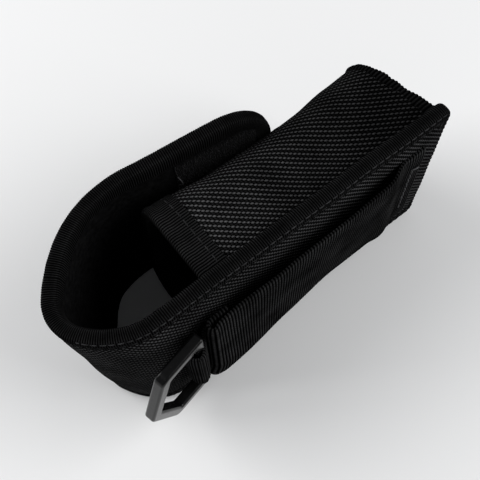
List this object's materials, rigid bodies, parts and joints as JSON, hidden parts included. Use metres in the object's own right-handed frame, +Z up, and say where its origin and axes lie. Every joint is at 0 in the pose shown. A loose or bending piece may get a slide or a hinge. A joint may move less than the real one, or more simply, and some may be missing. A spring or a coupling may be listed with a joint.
{
  "type": "flashlight belt holster",
  "caption": "Padded black nylon belt pouch for a small flashlight, with a wrap-over flap that folds open, a webbing belt loop and a swinging plastic D-ring.",
  "frame": {"origin": "middle of the bottom of the whole object's box, as it stands on its long side edge", "axes": "+X along the pocket from its mouth to its closed end, +Y from the back panel to the pocket's front, +Z up across the pouch's width"},
  "size_m": [0.1046, 0.0466, 0.058],
  "materials": {
    "panel_nylon": "fine basket-weave nylon, matt with small glints",
    "pocket_nylon": "coarse ballistic nylon, matt with grey glints",
    "foam": "closed-cell foam with a stiffener, matt",
    "lining": "smooth matt nylon",
    "edge_tape": "ribbed grosgrain tape, soft sheen",
    "webbing": "ribbed nylon webbing",
    "thread": "grey polyester thread",
    "loop_fabric": "fuzzy loop fabric",
    "hook_fabric": "small stiff hooks",
    "ring_plastic": "satin moulded plastic"
  },
  "bodies": {
    "holster": {"panel_cover": "panel_nylon", "panel_core": "foam", "panel_lining": "lining", "panel_binding": "edge_tape", "pocket_shell": "pocket_nylon", "pocket_foam": "foam", "pocket_lining": "lining", "pocket_end": "pocket_nylon", "end_seam_tape": "edge_tape", "mouth_binding": "edge_tape", "loop_patch": "loop_fabric", "belt_strap": "webbing", "strap_stitching": "thread", "ring_tab": "webbing"},
    "flap_shoulder": {"shoulder_cover": "panel_nylon", "shoulder_core": "foam", "shoulder_lining": "lining", "shoulder_binding": "edge_tape"},
    "flap_crown": {"crown_cover": "panel_nylon", "crown_core": "foam", "crown_lining": "lining", "crown_binding": "edge_tape"},
    "flap_end": {"flap_cover": "panel_nylon", "flap_core": "foam", "flap_lining": "lining", "flap_binding": "edge_tape", "hook_patch": "hook_fabric"},
    "ring": {"d_ring": "ring_plastic"}
  },
  "joints": [
    {"name": "shoulder_fold", "type": "hinge", "parent": "holster", "child": "flap_shoulder", "pos_m": [-0.04407, -0.01136, 0.029], "axis": [0, 0, 1], "range_deg": [0, 55]},
    {"name": "crown_fold", "type": "hinge", "parent": "flap_shoulder", "child": "flap_crown", "pos_m": [-0.05239, 0.00201, 0.029], "axis": [0, 0, 1], "range_deg": [0, 55]},
    {"name": "end_fold", "type": "hinge", "parent": "flap_crown", "child": "flap_end", "pos_m": [-0.03868, 0.01889, 0.029], "axis": [0, 0, 1], "range_deg": [0, 55]},
    {"name": "ring_swing", "type": "hinge", "parent": "holster", "child": "ring", "pos_m": [-0.02799, -0.01815, 0.029], "axis": [0, 0, 1], "range_deg": [-12, 94]}
  ],
  "couplings": [
    {"joint": "crown_fold", "follows": "shoulder_fold", "ratio": 1},
    {"joint": "end_fold", "follows": "shoulder_fold", "ratio": 1}
  ]
}
